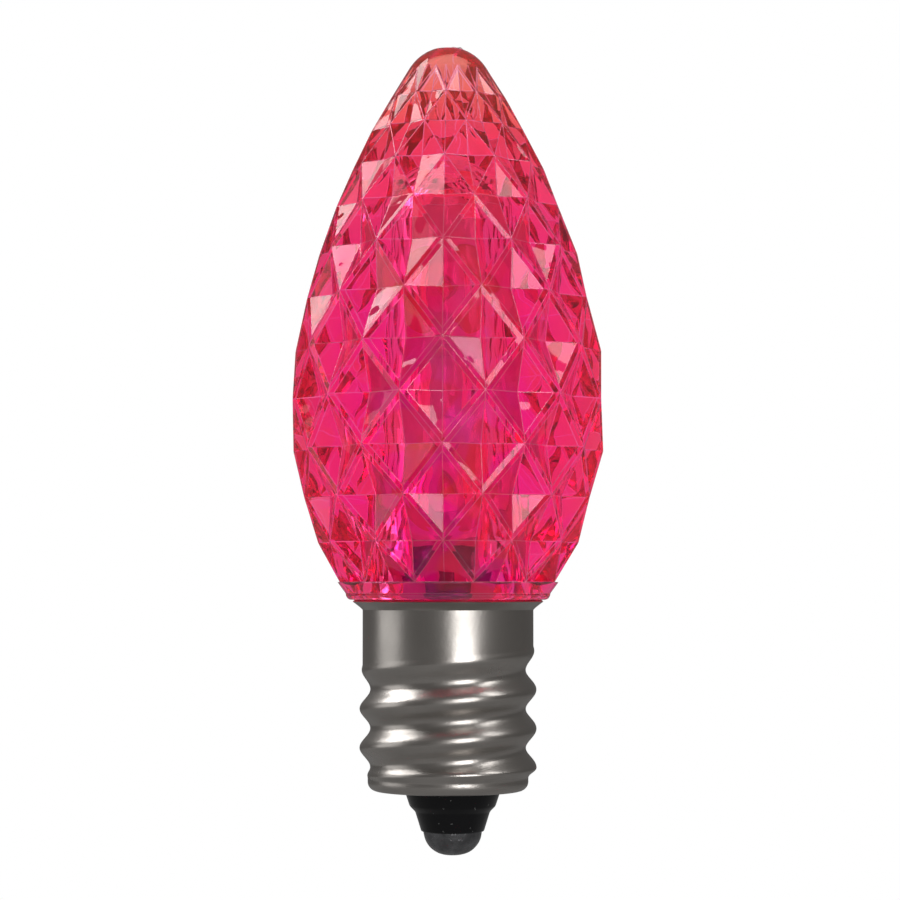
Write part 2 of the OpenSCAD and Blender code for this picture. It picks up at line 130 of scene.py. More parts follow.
class ShellSizes(bpy.types.PropertyGroup):
    collar_radius: length("Collar radius", "Outer radius of the plain collar", 5.61 * MM)
    collar_length: length("Collar length", "Length of the plain collar", 2.3 * MM)
    sheet: length("Sheet", "Sheet thickness", 0.25 * MM)
    crest_radius: length("Crest radius", "Crest radius of the rolled thread", 5.8 * MM)
    thread_depth: length("Thread depth", "Depth of the thread", 0.7 * MM)
    thread_pitch: length("Thread pitch", "Pitch of the thread", 2.54 * MM)
    first_groove: length("First groove", "Depth of the first groove below the collar", 1.75 * MM)
    run_out: angle("Run-out", "Turn over which the first groove runs out", 130)
    skirt_radius: length("Skirt radius", "Radius of the plain skirt below the thread", 5.26 * MM)
    skirt_round: length("Skirt rounding", "Corner radius under the skirt", 0.58 * MM)
    hole_radius: length("Hole radius", "Radius of the hole for the insulator", 3.5 * MM)
    stations: count("Stations", "Sections of the sweep around the axis", 180, 36)


class ContactSizes(bpy.types.PropertyGroup):
    cone_top: length("Cone top", "Radius of the insulator where it leaves the shell", 3.15 * MM)
    step_radius: length("Step radius", "Radius of the insulator at its step", 2.81 * MM)
    waist_radius: length("Waist radius", "Radius below the step", 2.45 * MM)
    cone_end: length("Cone end", "Radius of the insulator's end", 2.05 * MM)
    cone_length: length("Cone length", "Length of the insulator below the shell", 2.65 * MM)
    step_share: number("Step share", "Share of that length above the step", 0.38)
    tube_radius: length("Tube radius", "Radius of the hole for the contact", 0.92 * MM)
    edge_round: length("Edge rounding", "Width of the insulator's rounded edges", 0.09 * MM)
    dome_inset: length("Dome inset", "Distance of the dome inside the insulator's end", 0.13 * MM)
    dome_power: number("Dome power", "1 for an ellipse, less for a fuller dome", 0.8)


class FinishColours(bpy.types.PropertyGroup):
    dye_foot: colour("Dye at the foot", "Tint of the lens near the base", (1.0, 0.03, 0.58))
    dye_tip: colour("Dye at the tip", "Tint of the lens near the tip", (1.0, 0.2, 0.11))
    # Painted highlight: violet painted near the lens's axis, standing for the pale board inside
    # seen through it
    violet_highlight: colour("Violet dye", "Tint of the violet streaks", (1.0, 0.27, 0.9))
    # Painted highlight: pale tint on the rounded edges, standing for the lamps' reflection on them
    edge: colour("Edges", "Tint of the rounded edges", (1.0, 0.8, 0.88))
    gate: colour("Gate", "Plastic that is white with stress", (1.0, 0.88, 0.9))
    dye_depth: colour("Dye in depth", "Colour that the plastic lets through", (0.99, 0.52, 0.82))
    nickel: colour("Nickel", "Nickel plate on the shell", (0.5, 0.47, 0.44))
    black: colour("Black", "Insulator", (0.004, 0.004, 0.005))
    solder: colour("Solder", "Solder of the contact", (0.24, 0.24, 0.25))
    board: colour("Board", "Solder mask of the board", (0.75, 0.76, 0.72))
    phosphor: colour("Phosphor", "Window of the light-emitting packages", (0.82, 0.7, 0.2))


class StageSettings(bpy.types.PropertyGroup):
    distance: length("Camera distance", "From the camera to the bulb's axis", 165 * MM)
    rise: angle("Camera rise", "Angle at which the camera looks up", 3.2)
    view: angle("View", "Angle of view", 20.4)
    aim_right: length("Aim right", "Sideways place of the picture's centre", 0.13 * MM)
    aim_height: length("Aim height", "Height of the picture's centre", 12.7 * MM)
    floor_drop: length("Floor drop", "Distance of the floor below the origin", 60 * MM)
    floor_radius: length("Floor radius", "Radius of the round floor", 300 * MM)


# Meshes


def finished_object(name, mesh, material, replaced=()):
    """An object at the origin that rides on the bulb and hides the parts it replaces."""
    piece = bpy.data.objects.new(name, mesh)
    bpy.context.scene.collection.objects.link(piece)
    if material and not mesh.materials:
        mesh.materials.append(material)
    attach(piece, BODY)
    if replaced:
        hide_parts(*replaced)
    return piece


def applied(piece):
    """The object's mesh with its modifiers applied, and the modifiers removed."""
    graph = bpy.context.evaluated_depsgraph_get()
    mesh = bpy.data.meshes.new_from_object(
        piece.evaluated_get(graph), preserve_all_data_layers=True, depsgraph=graph
    )
    piece.modifiers.clear()
    old, piece.data = piece.data, mesh
    bpy.data.meshes.remove(old)
    mesh.name = piece.name
    return mesh


def mesh_of(name, points, faces):
    mesh = bpy.data.meshes.new(name)
    mesh.from_pydata(points, [], faces)
    mesh.validate()
    return mesh


def turned_mesh(name, profile, steps, centre_x=0.0, dent=None):
    """A profile of radius and height, turned about the axis. Radius 0 closes it with a pole."""
    points, faces, rings = [], [], []
    for radius, height in profile:
        if radius == 0:
            rings.append([len(points)])
            points.append((centre_x, 0, height))
            continue
        rings.append(list(range(len(points), len(points) + steps)))
        for i in range(steps):
            turn = 2 * pi * i / steps
            out = Vector((cos(turn), sin(turn), 0))
            here = out * radius + Vector((centre_x, 0, height))
            if dent:
                here -= out * dent(here)
            points.append(here)
    closed = len(rings[0]) > 1 and len(rings[-1]) > 1
    pairs = list(zip(rings, rings[1:])) + ([(rings[-1], rings[0])] if closed else [])
    for low, high in pairs:
        for i in range(steps):
            j = (i + 1) % steps
            if len(low) == 1:
                faces.append((low[0], high[j], high[i]))
            elif len(high) == 1:
                faces.append((low[i], low[j], high[0]))
            else:
                faces.append((low[i], low[j], high[j], high[i]))
    return mesh_of(name, points, faces)


def point_outwards(mesh):
    work = bmesh.new()
    work.from_mesh(mesh)
    bmesh.ops.recalc_face_normals(work, faces=work.faces)
    work.to_mesh(mesh)
    work.free()


def smooth_below(mesh, degrees):
    mesh.polygons.foreach_set("use_smooth", [True] * len(mesh.polygons))
    mesh.set_sharp_from_angle(angle=radians(degrees))


def ease(share):
    share = max(0.0, min(1.0, share))
    return share * share * (3 - 2 * share)


# Geometry Nodes


def ring_tree(material):
    """Copies of a wedge turned about the axis, joined into one closed mesh of a material."""
    tree = bpy.data.node_groups.new("wedges_around_axis", "GeometryNodeTree")
    face = tree.interface
    face.new_socket("Geometry", in_out="INPUT", socket_type="NodeSocketGeometry")
    face.new_socket("Wedges", in_out="INPUT", socket_type="NodeSocketInt")
    face.new_socket("Turn", in_out="INPUT", socket_type="NodeSocketFloat")
    face.new_socket("Join", in_out="INPUT", socket_type="NodeSocketFloat")
    face.new_socket("Geometry", in_out="OUTPUT", socket_type="NodeSocketGeometry")
    add, link = tree.nodes.new, tree.links.new
    inside, outside = add("NodeGroupInput"), add("NodeGroupOutput")
    points = add("GeometryNodePoints")
    index = add("GeometryNodeInputIndex")
    step = add("ShaderNodeMath")
    step.operation = "DIVIDE"
    step.inputs[0].default_value = 2 * pi
    turn = add("ShaderNodeMath")
    turn.operation = "MULTIPLY_ADD"
    about_axis = add("ShaderNodeCombineXYZ")
    rotation = add("FunctionNodeEulerToRotation")
    copies = add("GeometryNodeInstanceOnPoints")
    realize = add("GeometryNodeRealizeInstances")
    join = add("GeometryNodeMergeByDistance")
    set_material = add("GeometryNodeSetMaterial")
    set_material.inputs["Material"].default_value = material
    link(inside.outputs["Wedges"], points.inputs["Count"])
    link(inside.outputs["Wedges"], step.inputs[1])
    link(index.outputs[0], turn.inputs[0])
    link(step.outputs[0], turn.inputs[1])
    link(inside.outputs["Turn"], turn.inputs[2])
    link(turn.outputs[0], about_axis.inputs["Z"])
    link(about_axis.outputs[0], rotation.inputs[0])
    link(points.outputs[0], copies.inputs["Points"])
    link(inside.outputs["Geometry"], copies.inputs["Instance"])
    link(rotation.outputs[0], copies.inputs["Rotation"])
    link(copies.outputs[0], realize.inputs[0])
    link(realize.outputs[0], join.inputs["Geometry"])
    link(inside.outputs["Join"], join.inputs["Distance"])
    link(join.outputs[0], set_material.inputs["Geometry"])
    link(set_material.outputs[0], outside.inputs[0])
    return tree


def add_nodes(piece, tree, **values):
    """A Geometry Nodes modifier whose named inputs are set by their identifiers."""
    modifier = piece.modifiers.new(tree.name, "NODES")
    modifier.node_group = tree
    for item in tree.interface.items_tree:
        if item.in_out == "INPUT" and item.name in values:
            modifier[item.identifier] = values[item.name]
    return modifier


# Lens


class LensOutline:
    """Radius of the lens at a height: two arcs meet at the belly, then a shoulder and a tip."""

    def __init__(self, sizes):
        self.sizes = sizes
        self.belly_z = sizes.seat_height + sizes.belly_height
        self.lower = (sizes.belly_radius - sizes.lower_arc, self.belly_z)
        self.upper = (sizes.belly_radius - sizes.upper_arc, self.belly_z)
        across, along = cos(sizes.upper_turn), sin(sizes.upper_turn)
        self.shoulder_z = self.belly_z + sizes.upper_arc * along
        reach = sizes.upper_arc - sizes.shoulder_arc
        self.shoulder = (self.upper[0] + reach * across, self.belly_z + reach * along)
        tip_reach = sizes.shoulder_arc - sizes.tip_radius
        rise = sqrt(tip_reach**2 - self.shoulder[0] ** 2)
        self.tip_centre_z = self.shoulder[1] + rise
        self.tip_start_z = self.shoulder[1] + sizes.shoulder_arc * rise / tip_reach
        self.flat_z = self.tip_centre_z + sizes.tip_radius - sizes.tip_cut

    def radius(self, height):
        sizes = self.sizes
        if height < self.belly_z:
            (centre, level), arc = self.lower, sizes.lower_arc
        elif height < self.shoulder_z:
            (centre, level), arc = self.upper, sizes.upper_arc
        elif height < self.tip_start_z:
            (centre, level), arc = self.shoulder, sizes.shoulder_arc
        else:
            (centre, level), arc = (0, self.tip_centre_z), sizes.tip_radius
        return centre + sqrt(max(0, arc**2 - (height - level) ** 2))

    def rows(self):
        """Heights of the rows of crossings, from the foot to the smooth tip."""
        sizes = self.sizes
        foot, top = sizes.seat_height + sizes.pattern_foot, self.flat_z - sizes.tip_plain
        guess = (top - foot) / sizes.cell_rows
        rows = [foot]
        for _ in range(sizes.cell_rows):
            middle = self.radius(min(rows[-1] + guess / 2, top))
            rows.append(rows[-1] + guess * (middle / sizes.belly_radius) ** sizes.row_power)
        stretch = (top - foot) / (rows[-1] - foot)
        return [foot + (height - foot) * stretch for height in rows]


class Wedge:
    """Points and faces of one wedge of the lens. Points that fall together are shared."""

    def __init__(self):
        self.points, self.faces, self.smooth, self.known = [], [], [], {}

    def number(self, point):
        key = tuple(round(value * 1e8) for value in point)
        if key not in self.known:
            self.known[key] = len(self.points)
            self.points.append(tuple(point))
        return self.known[key]

    def face(self, corners, smooth=False):
        self.faces.append([self.number(corner) for corner in corners])
        self.smooth.append(smooth)

    def mesh(self, name):
        mesh = mesh_of(name, self.points, self.faces)
        mesh.polygons.foreach_set("use_smooth", self.smooth)
        return mesh


def round_edges(piece, width, degrees):
    """Round the edges sharper than an angle. The value "rounding" is 1 on the new faces."""
    mesh = piece.data
    mesh.materials.append(mesh.materials[0])
    bevel = piece.modifiers.new("edges", "BEVEL")
    bevel.width = width
    bevel.segments = 2
    bevel.angle_limit = radians(degrees)
    bevel.harden_normals = True
    bevel.material = 1
    mesh = applied(piece)
    rounding = [face.material_index for face in mesh.polygons]
    mesh.attributes.new("rounding", "FLOAT", "FACE").data.foreach_set("value", rounding)
    mesh.polygons.foreach_set("material_index", [0] * len(rounding))
    mesh.materials.pop()


def lens_wedge(sizes):
    """One wedge of the lens, two columns of crossings wide: skin, plain band, neck and bore."""
    outline, wedge = LensOutline(sizes), Wedge()
    rows = outline.rows()
    half_turn = pi / sizes.cells_around
    arc_steps = 8
    last = sizes.cell_rows - 1

    def at(radius, height, column):
        turn = column * half_turn
        return Vector((radius * cos(turn), radius * sin(turn), height))

    def crossing(row, column):
        return at(outline.radius(rows[row]), rows[row], column)

    def pit(row, column):
        radius = outline.radius(rows[row])
        return at(radius * (1 - sizes.cell_depth / sizes.belly_radius), rows[row], column)

    def ring(radius, height):
        return [at(radius, height, 2 * i / arc_steps - 1) for i in range(arc_steps + 1)]

    def sector(row, column, first, second):
        """The part of a cell between two of its corners: its ridges and its facet."""
        middle, inner = crossing(row, column), []
        for corner in (first, second):
            point = middle + sizes.cell_share * (corner - middle)
            sunk = 1 - sizes.ridge_crown / point.xy.length
            inner.append(Vector((point.x * sunk, point.y * sunk, point.z)))
        wedge.face((first, second, inner[1], inner[0]), smooth=True)
        wedge.face((inner[0], inner[1], pit(row, column)))
        return inner

    for row in range(sizes.cell_rows):
        up = row + 1
        if row % 2 == 0:
            left, right = crossing(row, -1), crossing(row, 1)
            inner_left = sector(row, 0, crossing(up, 0), left)[1]
            inner_right = sector(row, 0, right, crossing(up, 0))[0]
            if row == 0:
                ledge = [right, inner_right, pit(row, 0), inner_left]
            else:
                sector(row, 0, left, crossing(row - 1, 0))
                sector(row, 0, crossing(row - 1, 0), right)
        else:
            for side in (-1, 1):
                sector(row, side, crossing(up, side), crossing(row, 0))
                sector(row, side, crossing(row, 0), crossing(row - 1, side))
    # Crown and tip
    crown_steps = 7
    crown = [crossing(last + 1, column) for column in (-1, 0, 1)]
    wedge.face((crossing(last, 0), crown[1], crown[0]))
    wedge.face((crossing(last, 0), crown[2], crown[1]))
    height = rows[-1] + (outline.flat_z - rows[-1]) / crown_steps
    above = ring(outline.radius(height), height)
    half = arc_steps // 2
    for side in (0, 1):
        low, high = crown[side], crown[side + 1]
        arc = above[side * half:(side + 1) * half + 1]
        for i in range(half):
            wedge.face((low if i < half // 2 else high, arc[i + 1], arc[i]), smooth=True)
        wedge.face((low, high, arc[half // 2]), smooth=True)
    for i in range(2, crown_steps + 1):
        below = above
        height = rows[-1] + (outline.flat_z - rows[-1]) * i / crown_steps
        above = ring(outline.radius(height), height)
        for j in range(arc_steps):
            wedge.face((below[j], below[j + 1], above[j + 1], above[j]), smooth=True)
    for j in range(arc_steps):
        wedge.face((Vector((0, 0, outline.flat_z)), above[j], above[j + 1]))
    # Ledge under the cut cells
    above = ring(outline.radius(rows[0]), rows[0])
    wedge.face(above + ledge[1:])
    # Plain band, seat, neck and bore
    seat, band_z = sizes.seat_height, sizes.seat_height + sizes.seat_break
    band = outline.radius(band_z) - sizes.band_step
    neck_z = LENS_LOW.z
    profile = [(outline.radius(rows[0]) - sizes.band_step / 2, rows[0] - sizes.band_step)]
    for i in range(5):
        turn = i * pi / 8
        profile.append(
            (band - sizes.seat_bevel * (1 - cos(turn)), band_z - sizes.seat_break * sin(turn))
        )
    profile += [(sizes.neck_radius, seat), (sizes.neck_radius, neck_z), (sizes.bore_mouth, neck_z)]
    end_z = sizes.bore_top - sizes.bore_end
    bore_steps = 8
    for i in range(1, bore_steps + 1):
        share = i / bore_steps
        profile.append((
            sizes.bore_mouth + (sizes.bore_end - sizes.bore_mouth) * share,
            neck_z + (end_z - neck_z) * share,
        ))
    for i in range(1, 9):
        turn = i * pi / 18
        profile.append((sizes.bore_end * cos(turn), end_z + sizes.bore_end * sin(turn)))
    for radius, height in profile:
        below = ring(radius, height)
        for j in range(arc_steps):
            wedge.face((above[j], above[j + 1], below[j + 1], below[j]), smooth=True)
        above = below
    for j in range(arc_steps):
        wedge.face((above[j], above[j + 1], Vector((0, 0, sizes.bore_top))), smooth=True)
    return wedge.mesh("lens_wedge")


def gate_stub(sizes, top_z, material):
    """Broken stub of the moulding gate on the tip's flat."""
    ring_count, foot_gap = 22, 0.004 * MM
    low, high = [], []
    for i in range(ring_count):
        turn = 2 * pi * i / ring_count
        out = Vector((cos(turn), sin(turn), 0))
        ragged = 0.82 + 0.18 * noise.noise(out * 2.3 + Vector((4.1, 0, 0)))
        middle = Vector((sizes.gate_offset, 0, 0))
        reach = out * sizes.gate_radius * ragged
        low.append(middle + reach * 0.97 + Vector((0, 0, top_z + foot_gap)))
        rise = (LENS_HIGH.z - top_z) * (0.62 + 0.3 * noise.noise(out * 1.7))
        high.append(middle + reach * 0.78 + Vector((0, 0, top_z + rise)))
    peak = Vector((sizes.gate_offset * 1.2, 0, LENS_HIGH.z - foot_gap))
    faces = [list(range(ring_count - 1, -1, -1))]
    for i in range(ring_count):
        j = (i + 1) % ring_count
        faces.append((i, j, ring_count + j, ring_count + i))
        faces.append((ring_count + i, ring_count + j, 2 * ring_count))
    mesh = mesh_of("gate_stub", low + high + [peak], faces)
    point_outwards(mesh)
    smooth_below(mesh, 40)
    return finished_object("gate_stub", mesh, material)


# Screw shell


def thread_radius(sizes, turn, height):
    """Outer radius of the rolled thread at a turn, in degrees, and a height below the collar."""
    crest_blend, skirt_blend, run_start, crest_rest = 0.36 * MM, 0.7 * MM, 20, 0.3
    run_out = sizes.run_out * 180 / pi
    skirt_z = SHELL_LOW.z + sizes.skirt_round + 0.2 * MM

    def standing(angle_up):
        return 1 - ease((angle_up - run_start) / run_out)

    place = (height + sizes.first_groove) / sizes.thread_pitch - turn / 360
    number_up = floor(place + 0.5)
    offset = place - number_up
    up = turn + 360 * number_up
    here = standing(up)
    if offset > 0:
        over = max(standing(up + 360), crest_rest * here)
        crest = here + (over - here) * ease(2 * offset)
    else:
        fade = crest_rest * (1 - ease((offset + 0.5) * sizes.thread_pitch / crest_blend))
        crest = max(here, standing(up - 360) * fade)
    groove = here * sizes.thread_depth * cos(pi * offset) ** 2
    swell = (sizes.crest_radius - sizes.collar_radius) * crest - groove
    swell *= ease(-height / crest_blend)
    skirt = ease((skirt_z + skirt_blend - height) / skirt_blend)
    return sizes.collar_radius + swell + (sizes.skirt_radius - sizes.collar_radius - swell) * skirt


def shell_section(sizes, turn):
    """Closed section of the shell at a turn: radius and height, down the outside and back up."""
    sheet, lip_r, top_z = sizes.sheet, SHELL_HIGH.x, SHELL_HIGH.z
    edge, flare_steps, corner_steps, rows = sheet / 2, 6, 8, 150
    foot_z, corner = SHELL_LOW.z, sizes.skirt_round
    outside, inside = [], []
    flare_z, flare = sizes.collar_length - edge, top_z - sizes.collar_length
    for i in range(flare_steps + 1):
        share = i / flare_steps
        out = (1 - share) ** 1.15
        outside.append((
            sizes.collar_radius + (lip_r - sizes.collar_radius) * out,
            top_z - edge - (top_z - edge - flare_z) * share,
        ))
        inside.append((
            sizes.collar_radius - sheet + (lip_r - edge - sizes.collar_radius + sheet) * out,
            top_z - flare * 1.05 * share,
        ))
    skirt_z = foot_z + corner
    for i in range(rows + 1):
        height = skirt_z * (i / rows)
        radius = thread_radius(sizes, turn, height)
        outside.append((radius, height))
        inside.append((radius - sheet, height))
    for i in range(1, corner_steps + 1):
        bend = pi / 2 * i / corner_steps
        for line, radius in ((outside, corner), (inside, corner - sheet)):
            across = sizes.skirt_radius - corner + radius * cos(bend)
            line.append((across, skirt_z - radius * sin(bend)))
    outside.append((sizes.hole_radius + edge / 2, foot_z))
    outside.append((sizes.hole_radius, foot_z + edge / 2))
    inside.append((sizes.hole_radius, foot_z + sheet))
    return outside + inside[::-1]


def shell_mesh(sizes):
    stations = sizes.stations
    points, faces = [], []
    for s in range(stations):
        turn = 2 * pi * s / stations
        section = shell_section(sizes, 360 * s / stations)
        points += [(r * cos(turn), r * sin(turn), z) for r, z in section]
    around = len(section)
    for s in range(stations):
        here, there = s * around, (s + 1) % stations * around
        for i in range(around):
            j = (i + 1) % around
            faces.append((here + i, there + i, there + j, here + j))
    mesh = mesh_of("screw_shell_rolled", points, faces)
    point_outwards(mesh)
    smooth_below(mesh, 38)
    return mesh


# Materials


class Finish:
    """A material with a Principled shader, and short calls for its nodes."""

    def __init__(self, name, **settings):
        self.material = bpy.data.materials.new(name)
        self.material.use_nodes = True
        self.tree = self.material.node_tree
        self.tree.nodes.clear()
        self.output = self.add("ShaderNodeOutputMaterial")
        self.shader = self.add("ShaderNodeBsdfPrincipled", settings)
        self.link(self.shader.outputs[0], self.output.inputs["Surface"])
        self.place = self.add("ShaderNodeTexCoord").outputs["Object"]

    def add(self, kind, values=(), **attributes):
        node = self.tree.nodes.new(kind)
        for name, value in attributes.items():
            setattr(node, name, value)
        for name, value in dict(values).items():
            socket = node.inputs[name]
            if isinstance(value, bpy.types.NodeSocket):
                self.link(value, socket)
            else:
                socket.default_value = value
        return node

    def link(self, start, end):
        self.tree.links.new(start, end)

    def noise(self, scale, detail=3.0, stretch=(1, 1, 1)):
        """Noise of a scale in copies a metre, stretched along the axes."""
        mapped = self.add("ShaderNodeMapping", {"Vector": self.place, "Scale": stretch})
        texture = self.add("ShaderNodeTexNoise", {
            "Vector": mapped.outputs[0], "Scale": scale, "Detail": detail,
        })
        return texture.outputs["Fac"]

    def ramp(self, value, start, end, low, high):
        """Value mapped from start..end to low..high, clamped."""
        node = self.add(
            "ShaderNodeMapRange",
            {"Value": value, "From Min": start, "From Max": end, "To Min": low, "To Max": high},
        )
        return node.outputs["Result"]

    def mix(self, share, first, second):
        node = self.add("ShaderNodeMix", data_type="RGBA")
        for place, value in ((0, share), (6, first), (7, second)):
            socket = node.inputs[place]
            if isinstance(value, bpy.types.NodeSocket):
                self.link(value, socket)
            else:
                socket.default_value = value if isinstance(value, float) else (*value[:3], 1)
        return node.outputs[2]

    def axis(self, name):
        split = self.add("ShaderNodeSeparateXYZ", {"Vector": self.place})
        return split.outputs[name]

    def bump(self, height, distance, strength=1.0, after=None):
        values = {"Height": height, "Distance": distance, "Strength": strength}
        if after:
            values["Normal"] = after
        return self.add("ShaderNodeBump", values).outputs[0]

    def finish(self, **values):
        for name, value in values.items():
            socket = self.shader.inputs[name.replace("_", " ")]
            if isinstance(value, bpy.types.NodeSocket):
                self.link(value, socket)
            else:
                socket.default_value = value
        return self.material


def lens_plastic(colours, gate):
    """Clear dyed plastic: orange towards the tip and the sides, painted violet highlights in the
    middle.

    The rounded edges are paler, a painted highlight, and less polished; the plastic is white at
    the gate.
    """
    finish = Finish("lens_plastic", **{
        "IOR": 1.49, "Transmission Weight": 0.9, "Specular IOR Level": 0.5,
    })
    aside = finish.add("ShaderNodeMath", {0: finish.axis("X")}, operation="ABSOLUTE").outputs[0]
    height = finish.ramp(finish.axis("Z"), 14 * MM, 36 * MM, 0.0, 1.0)
    orange = finish.add("ShaderNodeMath", {
        0: height, 1: finish.ramp(aside, 2.5 * MM, 9.5 * MM, 0.0, 0.8),
    }, operation="MAXIMUM").outputs[0]
    # Flecks of the tip's dye lie all over the lens
    flecks = finish.ramp(finish.noise(300, 1), 0.5, 0.56, 0.0, 0.6)
    orange = finish.add("ShaderNodeMath", {0: orange, 1: flecks}, operation="MAXIMUM").outputs[0]
    # Painted highlight: violet streaks near the axis, where the pale board inside would show
    # through
    streaks = finish.add("ShaderNodeMath", {
        0: finish.ramp(finish.noise(330, 2, stretch=(1, 1, 0.4)), 0.44, 0.58, 0.0, 1.0),
        1: finish.ramp(aside, 1.5 * MM, 5.5 * MM, 1.0, 0.15),
    }, operation="MULTIPLY").outputs[0]
    streaks = finish.add("ShaderNodeMath", {
        0: streaks, 1: finish.ramp(finish.axis("Z"), 8 * MM, 14 * MM, 0.2, 1.0),
    }, operation="MULTIPLY").outputs[0]
    tint = finish.mix(streaks, colours.dye_foot, colours.violet_highlight)
    tint = finish.mix(orange, tint, colours.dye_tip)
    # The thick tip is dyed lightly, or it would look dark
    light = tuple(min(1.0, 2.6 * c) for c in colours.dye_tip)
    tint = finish.mix(finish.ramp(finish.axis("Z"), 33 * MM, 38 * MM, 0.0, 1.0), tint, light)
    # Painted highlight: the rounded edges are mixed towards a pale tint
    edge = finish.add("ShaderNodeAttribute", attribute_name="rounding").outputs["Fac"]
    tint = finish.mix(edge, tint, colours.edge)
    from_gate = finish.add("ShaderNodeVectorMath", {0: finish.place, 1: gate},
                           operation="DISTANCE")
    white = finish.ramp(from_gate.outputs["Value"], 0.8 * MM, 1.3 * MM, 1.0, 0.0)
    tint = finish.mix(white, tint, colours.gate)
    depth = finish.add("ShaderNodeVolumeAbsorption", {
        "Color": (*colours.dye_depth, 1), "Density": DYE_DENSITY,
    })
    finish.link(depth.outputs[0], finish.output.inputs["Volume"])
    rough = finish.ramp(edge, 0.0, 1.0, 0.02, 0.12)
    # The moulded faces have sunk a little as they cooled
    sink = finish.bump(finish.noise(420, 1), 0.13 * MM)
    return finish.finish(Base_Color=tint, Roughness=rough, Normal=sink)


def gate_plastic(colours):
    """Broken plastic, white with stress."""
    finish = Finish("gate_plastic", **{
        "Roughness": 0.35, "IOR": 1.49, "Transmission Weight": 0.25,
    })
    crumbs = finish.noise(3000, 4)
    tint = finish.mix(crumbs, (0.95, 0.6, 0.62), colours.gate)
    return finish.finish(Base_Color=tint, Normal=finish.bump(crumbs, 0.1 * MM))


def shell_nickel(colours):
    """Satin nickel plate with fine pits, rolling marks around the axis and dull patches."""
    finish = Finish("shell_nickel", Metallic=1.0)
    grain = finish.noise(5200, 2)
    rolled = finish.noise(900, 3, stretch=(0.35, 0.35, 6))
    patches = finish.noise(260, 4)
    tone = finish.mix(finish.ramp(patches, 0.35, 0.7, 0.0, 1.0), colours.nickel,
                      tuple(0.84 * c for c in colours.nickel))
    normal = finish.bump(grain, 0.012 * MM, 0.5)
    normal = finish.bump(rolled, 0.01 * MM, 0.35, after=normal)
    return finish.finish(
        Base_Color=tone, Roughness=finish.ramp(patches, 0.3, 0.75, 0.27, 0.38), Normal=normal
    )


def insulator_black(colours):
    """Glossy black moulding with specks of dust and faint scratches."""
    finish = Finish("insulator_black", **{"IOR": 1.5, "Specular IOR Level": 0.3})
    specks = finish.ramp(finish.noise(2600, 2), 0.7, 0.74, 0.0, 1.0)
    patches = finish.noise(500, 3)
    tone = finish.mix(specks, colours.black, (0.16, 0.16, 0.16))
    normal = finish.bump(finish.noise(1500, 3), 0.02 * MM, 0.5)
    return finish.finish(
        Base_Color=tone, Roughness=finish.ramp(patches, 0.3, 0.7, 0.08, 0.2), Normal=normal
    )


def contact_metal(colours):
    """Dull solder with a mottled skin and fine pits."""
    finish = Finish("contact_metal", Metallic=1.0)
    mottle = finish.noise(1500, 4)
    pits = finish.ramp(finish.noise(4200, 2), 0.3, 0.42, 0.0, 1.0)
    tone = finish.mix(finish.ramp(mottle, 0.35, 0.65, 0.0, 1.0), colours.solder,
                      tuple(0.6 * c for c in colours.solder))
    normal = finish.bump(pits, 0.02 * MM, 0.6)
    normal = finish.bump(mottle, 0.06 * MM, 0.6, after=normal)
    return finish.finish(
        Base_Color=tone, Roughness=finish.ramp(mottle, 0.3, 0.7, 0.2, 0.36), Normal=normal
    )


def plain_finish(name, tone, other, scale, rough, **settings):
    """A finish with two tones, mottled at a scale, and a fine bump."""
    finish = Finish(name, **settings)
    mottle = finish.noise(scale, 4)
    tint = finish.mix(finish.ramp(mottle, 0.35, 0.65, 0.0, 1.0), tone, other)
    return finish.finish(
        Base_Color=tint,
        Roughness=finish.ramp(mottle, 0.3, 0.7, rough, rough + 0.12),
        Normal=finish.bump(mottle, 0.02 * MM, 0.5),
    )


def package_plastic(colours, low, high):
    """White package whose round window holds a yellow phosphor."""
    finish = Finish("package_" + str(round(low.z * 1e4)) + ("_front" if low.y < 0 else "_back"))
    from_centre = finish.add("ShaderNodeVectorMath", {
        0: finish.place, 1: ((low.x + high.x) / 2, (low.y + high.y) / 2, (low.z + high.z) / 2),
    }, operation="SUBTRACT")
    flat = finish.add("ShaderNodeVectorMath", {0: from_centre.outputs[0], 1: (1, 0, 1)},
                      operation="MULTIPLY")
    away = finish.add("ShaderNodeVectorMath", {0: flat.outputs[0]}, operation="LENGTH")
    window_radius, window_rim = 1.82 * MM, 1.92 * MM
    window = finish.ramp(away.outputs["Value"], window_radius, window_rim, 1.0, 0.0)
    grain = finish.noise(2500, 3)
    body = finish.mix(grain, (0.82, 0.82, 0.78), (0.9, 0.9, 0.87))
    phosphor = finish.mix(grain, colours.phosphor, tuple(0.85 * c for c in colours.phosphor))
    return finish.finish(
        Base_Color=finish.mix(window, body, phosphor), Roughness=0.3,
        Normal=finish.bump(grain, 0.01 * MM, 0.4),
    )


# Operators


class BulbOperator:
    bl_options = {"REGISTER", "UNDO"}

    @property
    def colours(self):
        return bpy.context.scene.bulb_colours


class BULB_OT_lens(BulbOperator, bpy.types.Operator):
    """Make the moulded lens and the stub of its gate"""

    bl_idname = "bulb.lens"
    bl_label = "Lens"

    def execute(self, context):
        sizes = context.scene.bulb_lens
        top_z = LensOutline(sizes).flat_z
        material = lens_plastic(self.colours, (sizes.gate_offset, 0, top_z))
        piece = bpy.data.objects.new("lens_moulded", lens_wedge(sizes))
        piece.data.materials.append(material)
        context.scene.collection.objects.link(piece)
        add_nodes(
            piece, ring_tree(material), Wedges=sizes.cells_around,
            Turn=sizes.pattern_turn - pi / 2, Join=0.002 * MM,
        )
        applied(piece)
        point_outwards(piece.data)
        round_edges(piece, sizes.edge_round, 9)
        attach(piece, BODY)
        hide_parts("lens")
        gate_stub(sizes, top_z, gate_plastic(self.colours))
        return {"FINISHED"}


